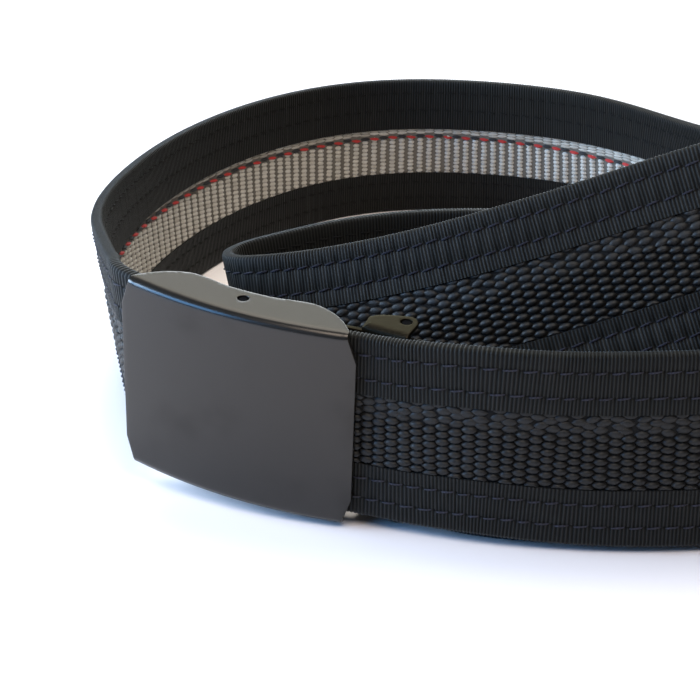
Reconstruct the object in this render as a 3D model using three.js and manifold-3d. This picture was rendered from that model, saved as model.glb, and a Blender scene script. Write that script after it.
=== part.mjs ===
// A fire hose belt, buckled and doubled into two coils, standing on its lower edge.
// Millimetres, +Z up. The buckle faces -Y, and the strap's free end runs to +X.
import * as THREE from "three";
import { mergeVertices } from "three/addons/utils/BufferGeometryUtils.js";
import Module from "manifold-3d";

const wasm = await Module();
wasm.setup();

// Strap
const strapWidth = 39.2;
const strapThickness = 2.8;
const webbingThickness = 0.7;
const webbingInset = 0.8;
const layerGap = 0.2;
const tapeThickness = 0.4;
const tapeFloor = 0.5;
const foldFlat = 0.85;
const foldHeight = 0.6;
const tapeOnOuterFace = 12.0;
const upperTapeOnInnerFace = 14.3;
const lowerTapeOnInnerFace = 11.7;
const samplesPerRow = 24;
const longestStep = 0.75;
const stepTurn = THREE.MathUtils.degToRad(10.5);
const stepTwist = 0.7;

// Buckle case: a sheet with a convex front, bent back into two flanges
const caseLength = 49.4;
const caseHeight = 42.1;
const sheet = 0.9;
const bendRadius = 1.4;
const frontBulge = 3.1;
const cornerCutLength = 2.0;
const cornerCutHeight = 6.0;
const caseSteps = 14;
const bendSteps = 3;
const pinDepth = 3.0;
const pinRadius = 0.85;
const pinHoleRadius = 1.15;

// Clip that holds the strap's fixed end
const clipDrop = 0.9;
const clipStart = 22.95;
const clipDepth = 5.8;
const clipBendRadius = 1.1;
const leverPin = { along: 6.85, depth: 4.95 };
const leverBarrelRadius = 0.95;
const leverBlade = { start: 2.0, front: 4.25, back: 5.15, half: 0.45 };
const endPlay = 0.35;
const pinRecess = 0.2;
const eyeRadius = 1.8;
const tongueHeight = { low: -19.5, high: 19.0 };
const tongueOverlap = 0.4;
const tongueStart = 0.3;

// The case's place in the part: origin at the middle of the chord between the plate's ends
const casePlace = new THREE.Vector3(-53.76, -84.93, 23.83);
const caseYaw = THREE.MathUtils.degToRad(-24.76);
const caseDip = THREE.MathUtils.degToRad(4.64);
const caseLean = THREE.MathUtils.degToRad(5.77);

// In the case's own frame x runs along the plate, y goes back from it, and z goes up.
const caseFrame = new THREE.Matrix4()
  .makeRotationFromEuler(new THREE.Euler(caseLean, caseDip, caseYaw, "ZYX"))
  .setPosition(casePlace);

const clipFrame = caseFrame
  .clone()
  .multiply(new THREE.Matrix4().makeTranslation(clipStart, clipDepth, -clipDrop));

// The route is a cubic B-spline. Each row is a control point of the strap's lower edge, with
// how far the upper edge overhangs it: x, y, lift above the table, overhang in x, overhang in y.
const coilRows = [
  [-11.5, -93.5, 0.0, 0.5, -3.8],
  [6.8, -97.1, 0.0, 0.7, -0.9],
  [30.5, -97.9, 0.0, 1.1, 0.9],
  [52.1, -94.4, 0.0, 1.2, 1.2],
  [66.9, -87.7, 0.0, 1.1, 1.1],
  [72.7, -76.7, 0.0, 0.7, 0.8],
  [70.1, -61.7, 0.0, 0.4, 0.5],
  [60.4, -44.9, 0.0, 0.3, 0.1],
  [43.7, -30.1, 0.0, 0.4, -0.2],
  [22.6, -19.8, 0.0, 0.3, -0.3],
  [0.4, -15.7, 0.0, 0.1, 0.0],
  [-19.1, -18.1, 0.0, -0.8, 0.8],
  [-33.4, -26.0, 0.0, -2.8, 2.1],
  [-42.7, -35.7, 0.0, -6.1, 3.4],
  [-48.6, -42.2, 0.0, -9.4, 4.6],
  [-50.1, -50.0, 0.7, -7.9, 4.6],
  [-49.1, -57.2, 2.0, -4.7, 6.5],
  [-42.2, -65.2, 4.6, -0.7, 9.9],
  [-27.4, -73.1, 9.7, 2.3, 12.8],
  [-6.0, -79.9, 17.3, 3.6, 14.3],
  [19.1, -82.0, 25.8, 3.5, 15.2],
  [42.4, -83.9, 35.1, 2.6, 16.3],
  [62.9, -86.0, 41.3, 0.9, 14.9],
  [77.8, -80.4, 40.8, -1.3, 10.9],
  [86.8, -61.5, 32.9, -3.6, 5.8],
  [89.9, -34.1, 21.2, -5.8, 1.3],
  [86.9, -1.0, 10.0, -8.0, -2.2],
  [77.4, 33.3, 2.5, -9.6, -4.5],
  [61.3, 64.1, 0.0, -8.9, -5.0],
  [38.4, 86.5, 0.0, -5.0, -3.9],
  [10.0, 98.2, 0.0, -2.6, -4.2],
  [-17.9, 99.8, 0.0, -0.9, -2.9],
  [-41.8, 89.3, 0.0, -0.9, -1.8],
  [-60.6, 68.1, 0.0, -1.8, -0.9],
  [-74.4, 41.1, 0.0, -2.9, -0.8],
  [-82.4, 13.1, 0.0, -3.7, -2.1],
  [-84.2, -12.3, 0.4, -4.8, -3.9],
  [-80.3, -33.7, 1.9, -4.4, -5.0],
  [-76.9, -51.6, 4.4, -3.5, -6.3],
  [-74.6, -65.8, 6.2, -2.8, -7.3],
];
const freeEndRows = [
  [-7.8, -98.2, 2.8, 3.6, -3.7],
  [6.9, -100.0, 1.5, 4.5, -1.5],
  [25.3, -101.4, 1.6, 5.7, 1.0],
  [45.7, -99.0, 1.4, 6.9, 2.3],
  [66.6, -92.9, 1.2, 8.2, 3.3],
];

// Where the strap lies in the clip, and in the case: along the plate, depth behind its chord,
// and lift above its middle
const strapInClip = { depth: 2.45, drop: 0.45, along: [-10.0, 0.4, 10.8] };
const strapInCase = [
  [-22.8, 4.0, 0.2],
  [-12.5, 0.9, 0.2],
  [0.0, -1.15, 0.25],
  [12.5, 0.85, 0.25],
  [24.0, 3.0, 0.3],
  [35.0, 3.9, 0.5],
];

function rowIn(frame, along, depth, lift) {
  const foot = new THREE.Vector3(along, depth, lift - strapWidth / 2).applyMatrix4(frame);
  const up = new THREE.Vector3(0, 0, strapWidth).transformDirection(frame);
  return [foot.x, foot.y, foot.z, up.x * strapWidth, up.y * strapWidth];
}

const rows = [
  ...strapInClip.along.map((along) => rowIn(clipFrame, along, strapInClip.depth, -strapInClip.drop)),
  ...coilRows,
  ...strapInCase.map(([along, depth, lift]) => rowIn(caseFrame, along, depth, lift)),
  ...freeEndRows,
];

function rowAt(position) {
  const first = Math.min(Math.floor(position), rows.length - 4);
  const t = position - first;
  const weights = [
    (1 - t) ** 3,
    3 * t ** 3 - 6 * t ** 2 + 4,
    -3 * t ** 3 + 3 * t ** 2 + 3 * t + 1,
    t ** 3,
  ];
  return rows[0].map((_, column) =>
    weights.reduce((sum, weight, i) => sum + (weight / 6) * rows[first + i][column], 0),
  );
}

// The strap's frame at a place on the route: its foot, its up direction and its inner direction
function stationAt(position) {
  const reach = 0.002;
  const before = rowAt(Math.max(position - reach, 0));
  const after = rowAt(Math.min(position + reach, rows.length - 3));
  const along = new THREE.Vector3(
    after[0] - before[0],
    after[1] - before[1],
    after[2] - before[2],
  ).normalize();
  const [x, y, lift, overX, overY] = rowAt(position);
  const up = new THREE.Vector3(overX, overY, Math.sqrt(strapWidth ** 2 - overX ** 2 - overY ** 2));
  up.addScaledVector(along, -up.dot(along)).normalize();
  const inner = new THREE.Vector3().crossVectors(up, along).normalize();
  const tilt = Math.hypot(up.x, up.y);
  return { foot: new THREE.Vector3(x, y, lift + foldFlat * tilt), up, inner };
}

// Stations are closer together where the strap bends or twists.
function stationsAlong() {
  const picked = [stationAt(0)];
  let lastPosition = 0;
  const end = rows.length - 3;
  for (let i = 1; i < end * samplesPerRow; i++) {
    const position = i / samplesPerRow;
    const last = picked[picked.length - 1];
    const next = stationAt((i + 1) / samplesPerRow);
    const turn = last.inner.angleTo(next.inner);
    const twist = strapWidth * Math.abs(next.up.clone().sub(last.up).dot(next.inner));
    const tooFar = (i + 1) / samplesPerRow - lastPosition > longestStep;
    if (tooFar || turn > stepTurn || twist > stepTwist) {
      picked.push(stationAt(position));
      lastPosition = position;
    }
  }
  picked.push(stationAt(end));
  return picked;
}

const stations = stationsAlong();

// A closed body through a list of outlines that all have the same number of points. Each side
// quad is split from its lower corner to its upper one, so that layers twist alike.
function loft(outlines, capOutline) {
  const count = outlines[0].length;
  const points = outlines.flat();
  const faces = [];
  for (let ring = 0; ring < outlines.length - 1; ring++) {
    for (let i = 0; i < count; i++) {
      const next = (i + 1) % count;
      const a = ring * count + i;
      const b = ring * count + next;
      if (capOutline[next].y >= capOutline[i].y) {
        faces.push(a, b, b + count, a, b + count, a + count);
      } else {
        faces.push(a, b, a + count, b, b + count, a + count);
      }
    }
  }
  const last = (outlines.length - 1) * count;
  for (const [a, b, c] of THREE.ShapeUtils.triangulateShape(capOutline, [])) {
    faces.push(c, b, a, last + a, last + b, last + c);
  }
  const geometry = new THREE.BufferGeometry().setFromPoints(points);
  geometry.setIndex(faces);
  return geometry;
}

// Sweeps a section along the strap. Its points are height above the lower edge and distance
// from the middle of the strap's thickness, inward positive, and run anticlockwise.
function sweep(section) {
  const cap = section.map(([height, side]) => new THREE.Vector2(side, height));
  const outlines = stations.map(({ foot, up, inner }) =>
    section.map(([height, side]) =>
      foot.clone().addScaledVector(up, height).addScaledVector(inner, side),
    ),
  );
  return loft(outlines, cap);
}

function webbingSection(side) {
  const near = layerGap / 2;
  const far = near + webbingThickness;
  const [left, right] = side > 0 ? [near, far] : [-far, -near];
  return [
    [webbingInset, left],
    [webbingInset, right],
    [strapWidth - webbingInset, right],
    [strapWidth - webbingInset, left],
  ];
}

function tapeSection(onInnerFace) {
  const face = strapThickness / 2;
  const back = face - tapeThickness;
  return [
    [0, -foldFlat],
    [0, foldFlat],
    [foldHeight, face],
    [onInnerFace, face],
    [onInnerFace, back],
    [tapeFloor, back],
    [tapeFloor, -back],
    [tapeOnOuterFace, -back],
    [tapeOnOuterFace, -face],
    [foldHeight, -face],
  ];
}

function turnedOver(section) {
  return section.map(([height, side]) => [strapWidth - height, side]).reverse();
}

// Solids in the case's frame or the clip's
function solid(geometry) {
  const bare = geometry.clone();
  bare.deleteAttribute("normal");
  bare.deleteAttribute("uv");
  const merged = mergeVertices(bare, 1e-4);
  return new wasm.Manifold(
    new wasm.Mesh({
      numProp: 3,
      vertProperties: new Float32Array(merged.attributes.position.array),
      triVerts: new Uint32Array(merged.index.array),
    }),
  );
}

function geometryOf(body) {
  const mesh = body.getMesh();
  const geometry = new THREE.BufferGeometry();
  geometry.setAttribute("position", new THREE.BufferAttribute(mesh.vertProperties, 3));
  geometry.setIndex(new THREE.BufferAttribute(mesh.triVerts, 1));
  return geometry;
}

function upright(points, low, high) {
  const shape = new THREE.Shape(points.map(([x, y]) => new THREE.Vector2(x, y)));
  const geometry = new THREE.ExtrudeGeometry(shape, { depth: high - low, bevelEnabled: false });
  return solid(geometry.translate(0, 0, low));
}

function rod(x, y, radius, low, high, sides = 24) {
  const geometry = new THREE.CylinderGeometry(radius, radius, high - low, sides);
  return solid(geometry.rotateX(Math.PI / 2).translate(x, y, (low + high) / 2));
}

// A bent sheet with a front wall and two flanges: half of its outline in depth and height
function bentSheet(front, back, halfHeight, radius) {
  const flangeEnd = Math.max(back, front + radius + 0.05);
  const outer = [[flangeEnd, halfHeight]];
  const inner = [[flangeEnd, halfHeight - sheet]];
  for (let i = 0; i <= bendSteps; i++) {
    const angle = (Math.PI / 2) * (i / bendSteps);
    const [across, rise] = [Math.sin(angle), Math.cos(angle)];
    const [centreDepth, centreHeight] = [front + radius, halfHeight - radius];
    const innerRadius = radius - sheet;
    outer.push([centreDepth - radius * across, centreHeight + radius * rise]);
    inner.push([centreDepth - innerRadius * across, centreHeight + innerRadius * rise]);
  }
  const below = (points) => points.map(([depth, height]) => [depth, -height]);
  return [...outer, ...below(outer).reverse(), ...below(inner), ...inner.reverse()];
}

function sheetAlong(places, frontAt, backAt, halfHeight, radius) {
  const outlines = places.map((x) =>
    bentSheet(frontAt(x), backAt(x), halfHeight, radius).map(
      ([depth, height]) => new THREE.Vector3(x, depth, height),
    ),
  );
  const cap = outlines[0].map((point) => new THREE.Vector2(point.y, point.z));
  return loft(outlines, cap);
}

function between(table, x) {
  const next = table.findIndex(([place]) => place >= x);
  if (next <= 0) {
    return next === 0 ? table[0][1] : table[table.length - 1][1];
  }
  const [x0, y0] = table[next - 1];
  const [x1, y1] = table[next];
  return y0 + ((y1 - y0) * (x - x0)) / (x1 - x0);
}

// The flange's back edge: distance from the middle of the plate, and depth behind its chord
const flangeEdge = [
  [0, 5.8],
  [2.5, 5.85],
  [5, 6.05],
  [7.5, 6.5],
  [10, 7.1],
  [12.5, 7.25],
  [14, 7.15],
  [16, 6.6],
  [17.7, 5.7],
  [19.3, 4.55],
  [20.8, 3.3],
  [21.8, 1.9],
  [22.5, 0.5],
];

function frontOfCase(x) {
  return -frontBulge * (1 - (x / (caseLength / 2)) ** 2);
}

function makeCase() {
  const half = caseLength / 2;
  const evenPlaces = Array.from({ length: caseSteps + 1 }, (_, i) => -half + (caseLength * i) / caseSteps);
  const edgePlaces = flangeEdge.flatMap(([x]) => [x, -x]);
  const places = [...new Set([...evenPlaces, ...edgePlaces].map((x) => Number(x.toFixed(3))))]
    .sort((a, b) => a - b)
    .filter((x, i, all) => i === 0 || i === all.length - 1 || x - all[i - 1] > 0.9);
  const backOfFlange = (x) => between(flangeEdge, Math.abs(x));
  let body = solid(sheetAlong(places, frontOfCase, backOfFlange, caseHeight / 2, bendRadius));
  const reach = 20;
  const margin = 1;
  const cutSlope = cornerCutLength / cornerCutHeight;
  for (const endSide of [-1, 1]) {
    for (const topSide of [-1, 1]) {
      const corner = new THREE.Shape([
        new THREE.Vector2(endSide * (half - cornerCutLength), topSide * (caseHeight / 2)),
        new THREE.Vector2(endSide * half, topSide * (caseHeight / 2 - cornerCutHeight)),
        new THREE.Vector2(endSide * (half + margin), topSide * (caseHeight / 2 - 2 * cornerCutHeight)),
        new THREE.Vector2(endSide * (half + margin), topSide * (caseHeight / 2 + margin)),
        new THREE.Vector2(
          endSide * (half - cornerCutLength - margin * cutSlope),
          topSide * (caseHeight / 2 + margin),
        ),
      ]);
      const cutter = new THREE.ExtrudeGeometry(corner, { depth: 2 * reach, bevelEnabled: false });
      body = body.subtract(solid(cutter.translate(0, 0, -reach).rotateX(Math.PI / 2)));
    }
  }
  return body.subtract(rod(0, pinDepth, pinHoleRadius, -caseHeight, caseHeight));
}

// The clip's flange outline in its own frame: along the wall, and depth behind its front
const clipFlangeEdge = [
  [0, 3.6],
  [0.6, 4.3],
  [1.2, 4.85],
  [2.2, 5.4],
  [3.2, 5.9],
  [4.9, 6.5],
  [6.2, 6.9],
  [7.2, 7.1],
  [8.3, 6.6],
  [9.1, 5.2],
];

function makeClipBody() {
  const places = clipFlangeEdge.map(([x]) => x);
  const backOfFlange = (x) => between(clipFlangeEdge, x);
  const walls = solid(sheetAlong(places, () => 0, backOfFlange, caseHeight / 2, clipBendRadius));
  const holes = rod(leverPin.along, leverPin.depth, pinHoleRadius, -caseHeight, caseHeight);
  const clip = walls.subtract(holes).transform(clipFrame.elements);
  const eyeBack = pinDepth + eyeRadius;
  const tongue = upright(
    [
      [tongueStart, eyeBack - sheet],
      [clipStart + tongueOverlap, clipDepth],
      [clipStart + tongueOverlap, clipDepth + sheet],
      [tongueStart, eyeBack],
    ],
    tongueHeight.low,
    tongueHeight.high,
  );
  const eye = rod(0, pinDepth, eyeRadius, tongueHeight.low, tongueHeight.high);
  const bore = rod(0, pinDepth, pinHoleRadius, -caseHeight, caseHeight);
  const link = tongue.add(eye).subtract(bore).transform(caseFrame.elements);
  return clip.add(link);
}

function makeClipLever() {
  const { along, depth } = leverPin;
  const half = caseHeight / 2 - sheet - endPlay;
  const pinHalf = caseHeight / 2 - pinRecess;
  const barrel = rod(along, depth, leverBarrelRadius, -half, half);
  const stub = rod(along, depth, pinRadius, -pinHalf, pinHalf);
  const blade = upright(
    [
      [leverBlade.start, leverBlade.front],
      [along, depth - leverBlade.half],
      [along, depth + leverBlade.half],
      [leverBlade.start, leverBlade.back],
    ],
    -half,
    half,
  );
  return barrel.add(blade).add(stub).transform(clipFrame.elements);
}

const colours = {
  outerWebbing: new THREE.MeshStandardMaterial({ color: 0x1b1d22, roughness: 0.62, metalness: 0 }),
  innerWebbing: new THREE.MeshStandardMaterial({ color: 0xa5a39d, roughness: 0.85, metalness: 0 }),
  tape: new THREE.MeshStandardMaterial({ color: 0x1f2429, roughness: 0.8, metalness: 0 }),
  casePaint: new THREE.MeshStandardMaterial({ color: 0x3c3e40, roughness: 0.45, metalness: 0.3 }),
  clipMetal: new THREE.MeshStandardMaterial({ color: 0x45443f, roughness: 0.4, metalness: 0.5 }),
};

const belt = new THREE.Group();
belt.name = "fire_hose_belt";

function addPiece(name, geometry, material) {
  const mesh = new THREE.Mesh(geometry, material);
  mesh.name = name;
  mesh.geometry.computeVertexNormals();
  belt.add(mesh);
}

addPiece("outer_webbing", sweep(webbingSection(-1)), colours.outerWebbing);
addPiece("inner_webbing", sweep(webbingSection(1)), colours.innerWebbing);
addPiece("lower_binding", sweep(tapeSection(lowerTapeOnInnerFace)), colours.tape);
addPiece("upper_binding", sweep(turnedOver(tapeSection(upperTapeOnInnerFace))), colours.tape);
addPiece("buckle_case", geometryOf(makeCase().transform(caseFrame.elements)), colours.casePaint);
addPiece(
  "case_pin",
  geometryOf(
    rod(0, pinDepth, pinRadius, pinRecess - caseHeight / 2, caseHeight / 2 - pinRecess).transform(
      caseFrame.elements,
    ),
  ),
  colours.clipMetal,
);
addPiece("clip_body", geometryOf(makeClipBody()), colours.clipMetal);
addPiece("clip_lever", geometryOf(makeClipLever()), colours.clipMetal);

// The part's origin is the middle of its bottom.
const bounds = new THREE.Box3().setFromObject(belt, true);
const middle = bounds.getCenter(new THREE.Vector3());
for (const piece of belt.children) {
  piece.geometry.translate(-middle.x, -middle.y, -bounds.min.z);
}

export default belt;
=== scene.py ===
import math
import bpy
import numpy as np
from mathutils import Euler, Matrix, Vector, geometry


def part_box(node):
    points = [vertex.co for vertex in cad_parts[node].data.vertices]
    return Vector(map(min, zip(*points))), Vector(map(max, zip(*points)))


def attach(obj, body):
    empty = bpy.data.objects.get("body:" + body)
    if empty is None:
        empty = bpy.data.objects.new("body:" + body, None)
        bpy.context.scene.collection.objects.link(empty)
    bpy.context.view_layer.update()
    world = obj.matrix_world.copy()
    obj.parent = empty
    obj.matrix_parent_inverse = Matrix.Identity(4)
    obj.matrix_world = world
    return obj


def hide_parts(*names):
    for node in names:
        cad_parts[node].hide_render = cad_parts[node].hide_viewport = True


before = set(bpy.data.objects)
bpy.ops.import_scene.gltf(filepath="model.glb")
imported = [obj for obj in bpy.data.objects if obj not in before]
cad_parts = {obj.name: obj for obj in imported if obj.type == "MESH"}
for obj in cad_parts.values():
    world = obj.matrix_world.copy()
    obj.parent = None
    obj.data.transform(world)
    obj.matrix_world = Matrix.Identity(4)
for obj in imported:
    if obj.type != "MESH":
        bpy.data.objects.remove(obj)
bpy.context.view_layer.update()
print("frame loaded")

mm = 0.001
rng = np.random.default_rng(11)


# The strap's route, as in the part's own source, in millimetres.

strap = {
    "width": 39.2,
    "thickness": 2.8,
    "foldFlat": 0.85,
    "samplesPerRow": 60,
    "inClip": {"depth": 2.45, "drop": 0.45, "along": (-10.0, 0.4, 10.8)},
    # along the plate, depth behind its chord, lift above its middle
    "inCase": (
        (-22.8, 4.0, 0.2),
        (-12.5, 0.9, 0.2),
        (0.0, -1.15, 0.25),
        (12.5, 0.85, 0.25),
        (24.0, 3.0, 0.3),
        (35.0, 3.9, 0.5),
    ),
    # x, y and lift of the lower edge, then how far the upper edge overhangs it in x and y
    "coils": (
        (-11.5, -93.5, 0.0, 0.5, -3.8),
        (6.8, -97.1, 0.0, 0.7, -0.9),
        (30.5, -97.9, 0.0, 1.1, 0.9),
        (52.1, -94.4, 0.0, 1.2, 1.2),
        (66.9, -87.7, 0.0, 1.1, 1.1),
        (72.7, -76.7, 0.0, 0.7, 0.8),
        (70.1, -61.7, 0.0, 0.4, 0.5),
        (60.4, -44.9, 0.0, 0.3, 0.1),
        (43.7, -30.1, 0.0, 0.4, -0.2),
        (22.6, -19.8, 0.0, 0.3, -0.3),
        (0.4, -15.7, 0.0, 0.1, 0.0),
        (-19.1, -18.1, 0.0, -0.8, 0.8),
        (-33.4, -26.0, 0.0, -2.8, 2.1),
        (-42.7, -35.7, 0.0, -6.1, 3.4),
        (-48.6, -42.2, 0.0, -9.4, 4.6),
        (-50.1, -50.0, 0.7, -7.9, 4.6),
        (-49.1, -57.2, 2.0, -4.7, 6.5),
        (-42.2, -65.2, 4.6, -0.7, 9.9),
        (-27.4, -73.1, 9.7, 2.3, 12.8),
        (-6.0, -79.9, 17.3, 3.6, 14.3),
        (19.1, -82.0, 25.8, 3.5, 15.2),
        (42.4, -83.9, 35.1, 2.6, 16.3),
        (62.9, -86.0, 41.3, 0.9, 14.9),
        (77.8, -80.4, 40.8, -1.3, 10.9),
        (86.8, -61.5, 32.9, -3.6, 5.8),
        (89.9, -34.1, 21.2, -5.8, 1.3),
        (86.9, -1.0, 10.0, -8.0, -2.2),
        (77.4, 33.3, 2.5, -9.6, -4.5),
        (61.3, 64.1, 0.0, -8.9, -5.0),
        (38.4, 86.5, 0.0, -5.0, -3.9),
        (10.0, 98.2, 0.0, -2.6, -4.2),
        (-17.9, 99.8, 0.0, -0.9, -2.9),
        (-41.8, 89.3, 0.0, -0.9, -1.8),
        (-60.6, 68.1, 0.0, -1.8, -0.9),
        (-74.4, 41.1, 0.0, -2.9, -0.8),
        (-82.4, 13.1, 0.0, -3.7, -2.1),
        (-84.2, -12.3, 0.4, -4.8, -3.9),
        (-80.3, -33.7, 1.9, -4.4, -5.0),
        (-76.9, -51.6, 4.4, -3.5, -6.3),
        (-74.6, -65.8, 6.2, -2.8, -7.3),
    ),
    "freeEnd": (
        (-7.8, -98.2, 2.8, 3.6, -3.7),
        (6.9, -100.0, 1.5, 4.5, -1.5),
        (25.3, -101.4, 1.6, 5.7, 1.0),
        (45.7, -99.0, 1.4, 6.9, 2.3),
        (66.6, -92.9, 1.2, 8.2, 3.3),
    ),
}

# Where the buckle lies, how it is turned in degrees, and where its pin and clip are in its frame:
# x runs along the plate, y goes back from its chord, and z goes up.
buckle = {
    "place": (-53.76, -84.93, 23.83),
    "lean": 5.77,
    "dip": 4.64,
    "yaw": -24.76,
    "pinDepth": 3.0,
    "clipStart": 22.95,
    "clipDepth": 5.8,
    "clipDrop": 0.9,
}

caseAngles = [math.radians(buckle[name]) for name in ("lean", "dip", "yaw")]
caseTurn = np.array(Euler(caseAngles, "XYZ").to_matrix())
casePlace = np.array(buckle["place"])
clipOffset = np.array((buckle["clipStart"], buckle["clipDepth"], -buckle["clipDrop"]))
clipPlace = caseTurn @ clipOffset + casePlace

# The case pin's middle says how far the part's source moved everything to its own origin.
pinBox = np.array(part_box("case_pin"))
shift = (caseTurn @ np.array((0, buckle["pinDepth"], 0)) + casePlace) - pinBox.mean(0) / mm


def inMetres(points):
    return (points - shift) * mm


def rowIn(place, along, depth, lift):
    foot = caseTurn @ np.array((along, depth, lift - strap["width"] / 2)) + place
    return (*foot, *(caseTurn[:2, 2] * strap["width"]))


def makeRoute():
    inClip = strap["inClip"]
    first = [rowIn(clipPlace, along, inClip["depth"], -inClip["drop"]) for along in inClip["along"]]
    inCase = [rowIn(casePlace, *row) for row in strap["inCase"]]
    return np.array([*first, *strap["coils"], *inCase, *strap["freeEnd"]])


controlRows = makeRoute()


def strapFrame(position):
    # at a place counted in control rows, along their cubic B-spline: the strap's lower edge,
    # its way up and its way inwards
    first = np.clip(np.floor(position).astype(int), 0, len(controlRows) - 4)
    t = position - first
    rest = 1 - t
    weights = [rest**3, 3 * t**3 - 6 * t**2 + 4, -3 * t**3 + 3 * t**2 + 3 * t + 1, t**3]
    slopes = [-(rest**2), 3 * t**2 - 4 * t, -3 * t**2 + 2 * t + 1, t**2]
    windows = controlRows[first[..., None] + np.arange(4)]
    row = np.einsum("...k,...kc->...c", np.stack(weights, -1) / 6, windows)
    along = np.einsum("...k,...kc->...c", np.stack(slopes, -1) / 2, windows)[..., :3]
    along /= np.linalg.norm(along, axis=-1, keepdims=True)
    rise = np.sqrt(strap["width"] ** 2 - row[..., 3] ** 2 - row[..., 4] ** 2)
    up = np.stack([row[..., 3], row[..., 4], rise], -1)
    up -= along * np.sum(up * along, -1, keepdims=True)
    up /= np.linalg.norm(up, axis=-1, keepdims=True)
    foot = row[..., :3].copy()
    foot[..., 2] += strap["foldFlat"] * np.hypot(up[..., 0], up[..., 1])
    return foot, up, np.cross(up, along)


def measureRoute():
    spans = len(controlRows) - 3
    positions = np.linspace(0, spans, spans * strap["samplesPerRow"] + 1)
    foot, up, _ = strapFrame(positions)
    middle = foot + up * strap["width"] / 2
    steps = np.linalg.norm(np.diff(middle, axis=0), axis=1)
    return positions, np.concatenate([[0], np.cumsum(steps)])


routePositions, routeLengths = measureRoute()
strapLength = routeLengths[-1]
print(f"strap length {strapLength:.0f} mm")


def onStrap(length, height, side):  # the side is inwards from the middle of the strap's thickness
    length, height, side = np.broadcast_arrays(length, height, side)
    position = np.interp(length, routeLengths, routePositions)
    foot, up, inner = strapFrame(position)
    return foot + up * height[..., None] + inner * side[..., None]


# Meshes.


def makePiece(name, material, points, faces, coords=None, tone=None, seams=60):
    mesh = bpy.data.meshes.new(name)
    loops = np.concatenate([f.ravel() for f in faces])
    sizes = np.concatenate([np.full(len(f), f.shape[1]) for f in faces])
    mesh.vertices.add(len(points))
    mesh.vertices.foreach_set("co", inMetres(points).ravel())
    mesh.loops.add(len(loops))
    mesh.loops.foreach_set("vertex_index", loops)
    mesh.polygons.add(len(sizes))
    mesh.polygons.foreach_set("loop_start", np.concatenate([[0], np.cumsum(sizes)[:-1]]))
    mesh.polygons.foreach_set("use_smooth", np.ones(len(sizes), bool))
    mesh.update(calc_edges=True)
    mesh.validate()
    if coords is not None:
        layer = mesh.uv_layers.new(name="strap")
        layer.data.foreach_set("uv", coords[loops].ravel() / 100)
    if tone is not None:
        mesh.attributes.new("tone", "FLOAT", "POINT").data.foreach_set("value", tone)
    mesh.set_sharp_from_angle(angle=math.radians(seams))
    mesh.materials.append(material)
    piece = bpy.data.objects.new(name, mesh)
    bpy.context.scene.collection.objects.link(piece)
    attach(piece, "root")
    return piece


def ringQuads(rings, around):
    start = np.arange(rings - 1)[:, None] * around
    here = np.arange(around)
    near, far = start + here, start + (here + 1) % around
    return np.stack([near, far, far + around, near + around], -1).reshape(-1, 4)


def tubeFaces(rings, around):
    first = np.arange(around)[None]
    return [ringQuads(rings, around), first[:, ::-1], first + (rings - 1) * around]


def turnedOver(faces):
    return [f[:, ::-1] for f in faces]


def repeated(faces, bodies, points):  # the same faces for many small bodies in a row
    starts = np.arange(bodies)[:, None, None] * points
    return [(f[None] + starts).reshape(-1, f.shape[1]) for f in faces]


def sweepStrap(lengths, heights, sides):
    points = onStrap(lengths[:, None], heights, sides)
    coords = np.stack(np.broadcast_arrays(lengths[:, None], heights), -1)
    return points.reshape(-1, 3), tubeFaces(len(lengths), points.shape[1]), coords.reshape(-1, 2)


def joinMeshes(*parts):
    points, faceLists, coords, tones = zip(*parts)
    starts = np.cumsum([0] + [len(p) for p in points[:-1]])
    faces = [f + start for start, faces in zip(starts, faceLists) for f in faces]
    return np.concatenate(points), faces, np.concatenate(coords), np.concatenate(tones)


# Shaders.


class Signal:  # a shader socket that works in plain arithmetic
    def __init__(self, paint, socket):
        self.paint = paint
        self.socket = socket

    def other(self, name):
        return Signal(self.paint, self.socket.node.outputs[name])

    def math(self, operation, *values):
        return self.paint.add("Math", {"operation": operation}, dict(enumerate(values)))

    def __add__(self, value):
        return self.math("ADD", self, value)

    def __sub__(self, value):
        return self.math("SUBTRACT", self, value)

    def __mul__(self, value):
        return self.math("MULTIPLY", self, value)

    def __pow__(self, value):
        return self.math("POWER", self, value)

    def __rsub__(self, value):
        return self.math("SUBTRACT", value, self)

    __radd__ = __add__
    __rmul__ = __mul__

    def sine(self):
        return self.math("SINE", self)

    def between(self, low, high):
        steps = {"interpolation_type": "SMOOTHSTEP"}
        return self.paint.add("MapRange", steps, {0: self, 1: low, 2: high})


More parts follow.
